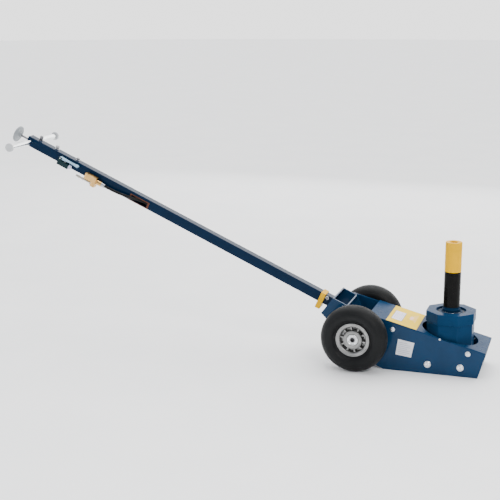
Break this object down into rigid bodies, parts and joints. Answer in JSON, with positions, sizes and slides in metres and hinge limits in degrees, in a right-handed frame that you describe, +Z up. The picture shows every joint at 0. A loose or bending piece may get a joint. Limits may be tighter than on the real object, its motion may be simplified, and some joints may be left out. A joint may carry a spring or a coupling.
{
  "type": "air-hydraulic truck jack",
  "caption": "Wheeled air-hydraulic floor jack with a telescopic ram, stacked extensions, a long hinged handle with an air valve, and a low chassis.",
  "frame": {"origin": "on the floor under the lifting ram's axis, in the base plate's lower face", "axes": "+X forward, away from the handle; +Y the jack's left; +Z up along the ram"},
  "size_m": [2.0143, 0.404, 0.8724],
  "materials": {
    "black_rubber": "smooth",
    "aluminium": "anodised",
    "machined_steel": "machined",
    "blue_paint": "gloss enamel",
    "bright_zinc": "bright zinc",
    "knob_plastic": "moulded",
    "chrome": "polished",
    "brass": "machined",
    "zinc_rim": "zinc plated",
    "tyre_rubber": "smooth rubber",
    "yellow_paint": "semi-gloss enamel",
    "dark_paint": "semi-gloss black",
    "pump_iron": "machined",
    "valve_paint": "satin",
    "lever_plastic": "moulded"
  },
  "bodies": {
    "chassis": {"right_side_plate": "blue_paint", "left_side_plate": "blue_paint", "rear_cover": "blue_paint", "front_cover": "blue_paint", "base_plate": "blue_paint", "front_cross_plate": "blue_paint", "rear_cross_bar": "machined_steel", "side_bolts": "bright_zinc", "axle": "machined_steel", "axle_spacers": "machined_steel", "retaining_rings": "bright_zinc", "lock_sector": "machined_steel", "lift_housing": "blue_paint", "pressure_cylinder": "machined_steel", "gland_ring": "machined_steel", "wiper_seal": "black_rubber", "pump_block": "pump_iron", "relief_valve": "brass", "air_motor_cylinder": "aluminium", "air_motor_cap": "aluminium"},
    "air_motor_piston": {"air_piston": "aluminium", "pump_plunger": "machined_steel", "piston_spring": "machined_steel"},
    "outer_ram": {"outer_ram": "machined_steel"},
    "inner_ram": {"inner_ram": "machined_steel"},
    "lower_extension": {"lower_extension": "dark_paint"},
    "upper_extension": {"upper_extension": "yellow_paint"},
    "right_wheel": {"right_tyre": "tyre_rubber", "right_rim_outer": "zinc_rim", "right_rim_inner": "zinc_rim", "right_hub": "zinc_rim", "right_bearings": "machined_steel", "right_rim_bolts": "bright_zinc"},
    "left_wheel": {"left_tyre": "tyre_rubber", "left_rim_outer": "zinc_rim", "left_rim_inner": "zinc_rim", "left_hub": "zinc_rim", "left_bearings": "machined_steel", "left_rim_bolts": "bright_zinc"},
    "handle": {"yoke_right_plate": "blue_paint", "yoke_left_plate": "blue_paint", "yoke_rear_plate": "blue_paint", "yoke_front_plate": "blue_paint", "handle_tube": "blue_paint", "tube_end_plate": "blue_paint", "crossbar": "chrome", "clamp_bolt": "bright_zinc", "valve_body": "valve_paint", "lever_pin": "machined_steel", "inlet_nipple": "machined_steel", "hose_coupling": "brass", "air_hose": "black_rubber", "hose_grommet": "black_rubber", "lower_hose": "black_rubber"},
    "handle_lock": {"control_knob": "knob_plastic", "control_rod": "machined_steel", "lock_collar": "yellow_paint", "lock_spring": "machined_steel"},
    "valve_lever": {"valve_lever": "lever_plastic"},
    "valve_plunger": {"valve_plunger": "machined_steel"}
  },
  "joints": [
    {"name": "outer_ram_lift", "type": "slide", "parent": "chassis", "child": "outer_ram", "axis": [0, 0, 1], "range_m": [0, 0.15]},
    {"name": "inner_ram_lift", "type": "slide", "parent": "outer_ram", "child": "inner_ram", "axis": [0, 0, 1], "range_m": [0, 0.148]},
    {"name": "lower_extension_lift_off", "type": "slide", "parent": "inner_ram", "child": "lower_extension", "axis": [0, 0, 1], "range_m": [0, 0.04]},
    {"name": "upper_extension_lift_off", "type": "slide", "parent": "lower_extension", "child": "upper_extension", "axis": [0, 0, 1], "range_m": [0, 0.04]},
    {"name": "right_wheel_spin", "type": "hinge", "parent": "chassis", "child": "right_wheel", "pos_m": [-0.35, 0, 0.13], "axis": [0, 1, 0], "continuous": true},
    {"name": "left_wheel_spin", "type": "hinge", "parent": "chassis", "child": "left_wheel", "pos_m": [-0.35, 0, 0.13], "axis": [0, 1, 0], "continuous": true},
    {"name": "handle_lift", "type": "hinge", "parent": "chassis", "child": "handle", "pos_m": [-0.35, 0, 0.13], "axis": [0, 1, 0], "range_deg": [0, 40], "deforming": ["lower_hose"]},
    {"name": "lock_pull", "type": "slide", "parent": "handle", "child": "handle_lock", "axis": [-0.9128, 0, 0.4083], "range_m": [0, 0.014], "stiffness_N_per_m": 1500, "springref_m": -0.03, "deforming": ["lock_spring"]},
    {"name": "valve_lever_press", "type": "hinge", "parent": "handle", "child": "valve_lever", "pos_m": [-1.63699, -0.033, 0.75007], "axis": [0, 1, 0], "range_deg": [0, 5], "stiffness_Nm_per_rad": 2, "springref_deg": -8.59},
    {"name": "valve_plunger_press", "type": "slide", "parent": "handle", "child": "valve_plunger", "axis": [-0.4083, 0, -0.9128], "range_m": [0, 0.0025]},
    {"name": "air_piston_stroke", "type": "slide", "parent": "chassis", "child": "air_motor_piston", "axis": [1, 0, 0], "range_m": [0, 0.034], "stiffness_N_per_m": 600, "springref_m": -0.03, "deforming": ["piston_spring"]}
  ],
  "couplings": [
    {"joint": "valve_plunger_press", "follows": "valve_lever_press", "m_per_rad": 0.025}
  ]
}
